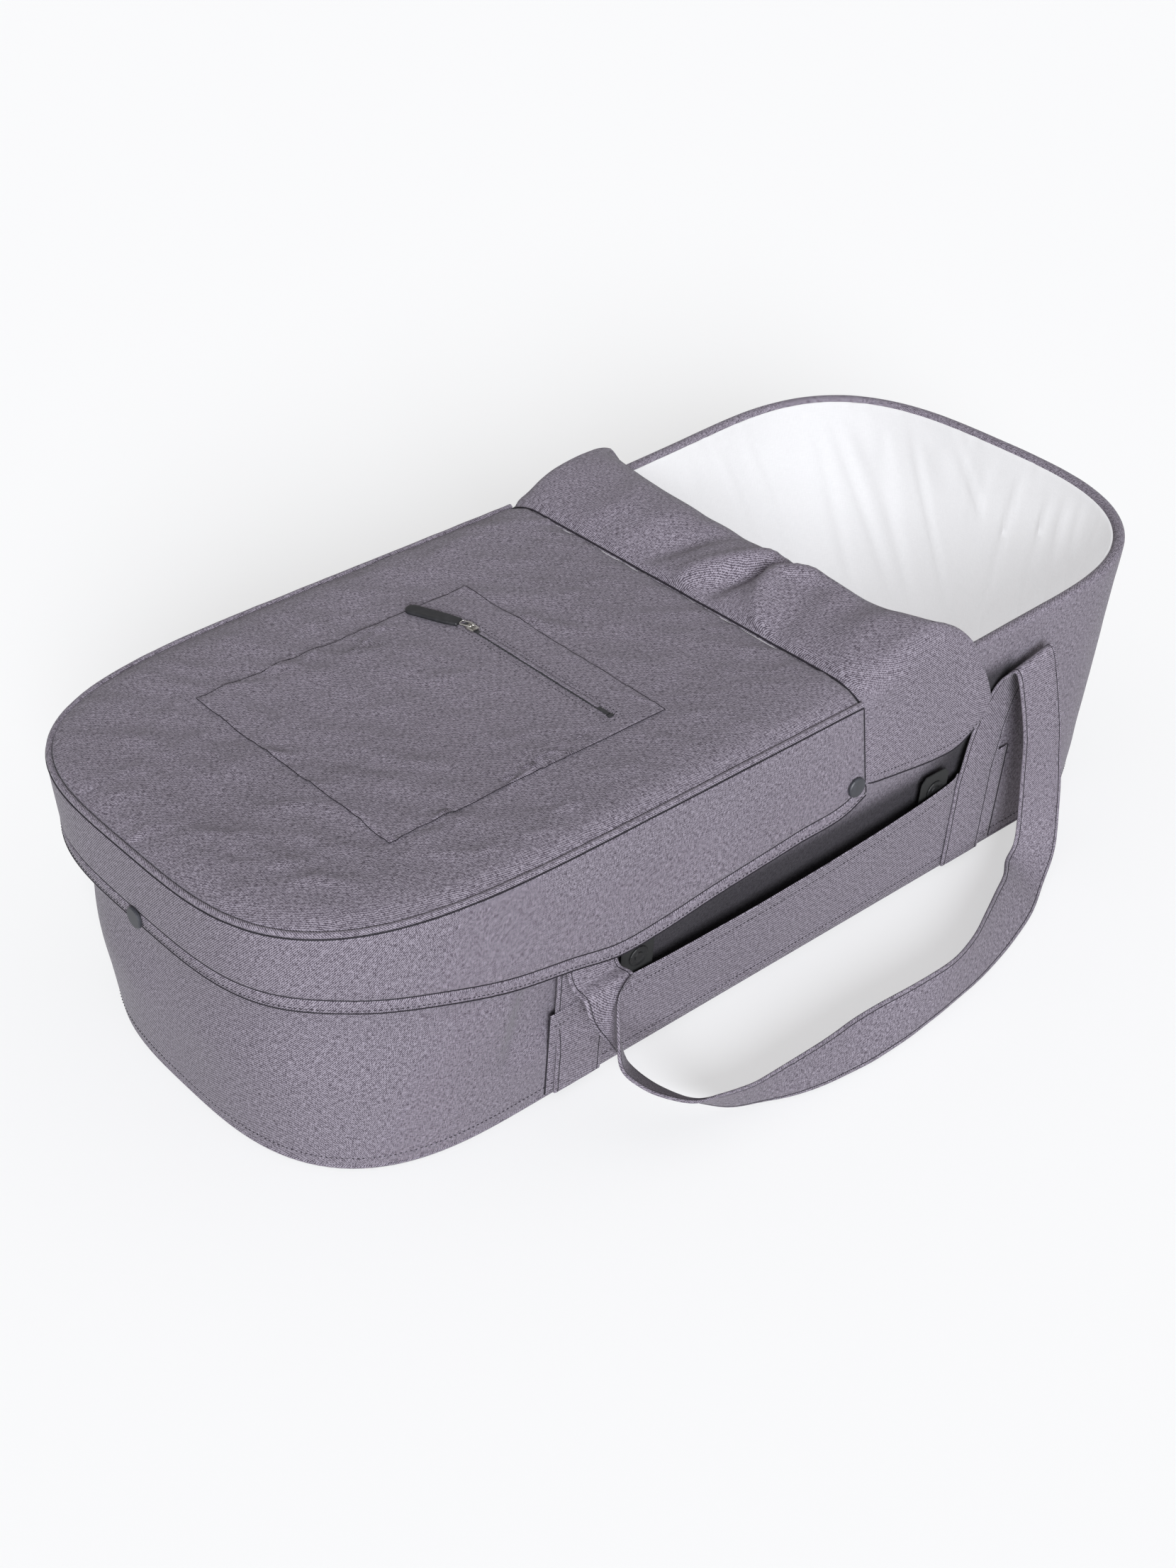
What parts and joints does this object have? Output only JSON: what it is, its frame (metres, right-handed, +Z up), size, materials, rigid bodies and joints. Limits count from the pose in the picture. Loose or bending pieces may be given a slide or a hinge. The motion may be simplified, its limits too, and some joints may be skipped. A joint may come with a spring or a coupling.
{
  "type": "carrycot",
  "caption": "Soft carrycot with a fitted apron, a padded fold-back wind flap, a zipped apron pocket, side pockets and strap handles, open at the head end.",
  "frame": {"origin": "on the floor under the middle of the base panel", "axes": "+Z up, +X to the open head end, -Y to the near side with the handle in the picture"},
  "size_m": [0.8098, 0.565, 0.236],
  "materials": {
    "grey_melange": "woven grey-mauve melange polyester",
    "white_cotton": "plain white cotton",
    "foam": null,
    "board": "stiffening board",
    "slate_plastic": "dark slate snaps",
    "black_webbing": "black webbing and zip tape",
    "bright_metal": "bright cast metal",
    "black_rubber": "matt moulded rubber"
  },
  "bodies": {
    "tub": {"outer_cover": "grey_melange", "base_panel": "grey_melange", "base_piping": "grey_melange", "base_board": "board", "wall_board": "board", "wall_padding": "foam", "lining": "white_cotton", "rim_binding": "grey_melange", "mattress": "white_cotton", "side_pocket_near": "grey_melange", "strap_end_near_foot": "grey_melange", "webbing_tab_near_foot": "black_webbing", "ring_snap_near_foot": "slate_plastic", "strap_end_near_head": "grey_melange", "webbing_tab_near_head": "black_webbing", "ring_snap_near_head": "slate_plastic", "snap_stud_near": "slate_plastic", "side_pocket_far": "grey_melange", "strap_end_far_foot": "grey_melange", "webbing_tab_far_foot": "black_webbing", "ring_snap_far_foot": "slate_plastic", "strap_end_far_head": "grey_melange", "webbing_tab_far_head": "black_webbing", "ring_snap_far_head": "slate_plastic", "snap_stud_far": "slate_plastic", "snap_stud_foot": "slate_plastic"},
    "apron": {"apron_panel": "grey_melange", "apron_skirt": "grey_melange", "apron_piping": "grey_melange", "apron_pocket": "grey_melange", "zip_tape": "grey_melange", "zip_teeth": "black_webbing", "zip_stop_near": "bright_metal", "zip_stop_far": "bright_metal", "snap_cap_near": "slate_plastic", "snap_cap_far": "slate_plastic", "snap_cap_foot": "slate_plastic"},
    "wind_flap": {"wind_flap": "grey_melange"},
    "zip_slider": {"zip_slider": "bright_metal"},
    "zip_puller": {"pull_link": "bright_metal", "pull_tab": "black_rubber"},
    "handle_near": {"handle_near": "grey_melange"},
    "handle_far": {"handle_far": "grey_melange"}
  },
  "joints": [
    {"name": "apron_open", "type": "hinge", "parent": "tub", "child": "apron", "pos_m": [-0.4095, 0, 0.14886], "axis": [0, -1, 0], "range_deg": [0, 95]},
    {"name": "flap_fold", "type": "hinge", "parent": "apron", "child": "wind_flap", "pos_m": [0.049, 0, 0.2167], "axis": [0, -1, 0], "range_deg": [0, 130]},
    {"name": "zip_slide", "type": "slide", "parent": "apron", "child": "zip_slider", "axis": [0, -1, 0], "range_m": [0, 0.138]},
    {"name": "pull_swing", "type": "hinge", "parent": "zip_slider", "child": "zip_puller", "pos_m": [-0.0945, 0.05, 0.2201], "axis": [0.9272, 0.3746, 0], "range_deg": [0, 150]},
    {"name": "handle_near_swing", "type": "hinge", "parent": "tub", "child": "handle_near", "pos_m": [-0.1855, -0.1975, 0.1], "axis": [-0.9811, 0, -0.1935], "range_deg": [0, 120]},
    {"name": "handle_far_swing", "type": "hinge", "parent": "tub", "child": "handle_far", "pos_m": [-0.1855, 0.1975, 0.1], "axis": [0.9811, 0, 0.1935], "range_deg": [0, 120]}
  ]
}
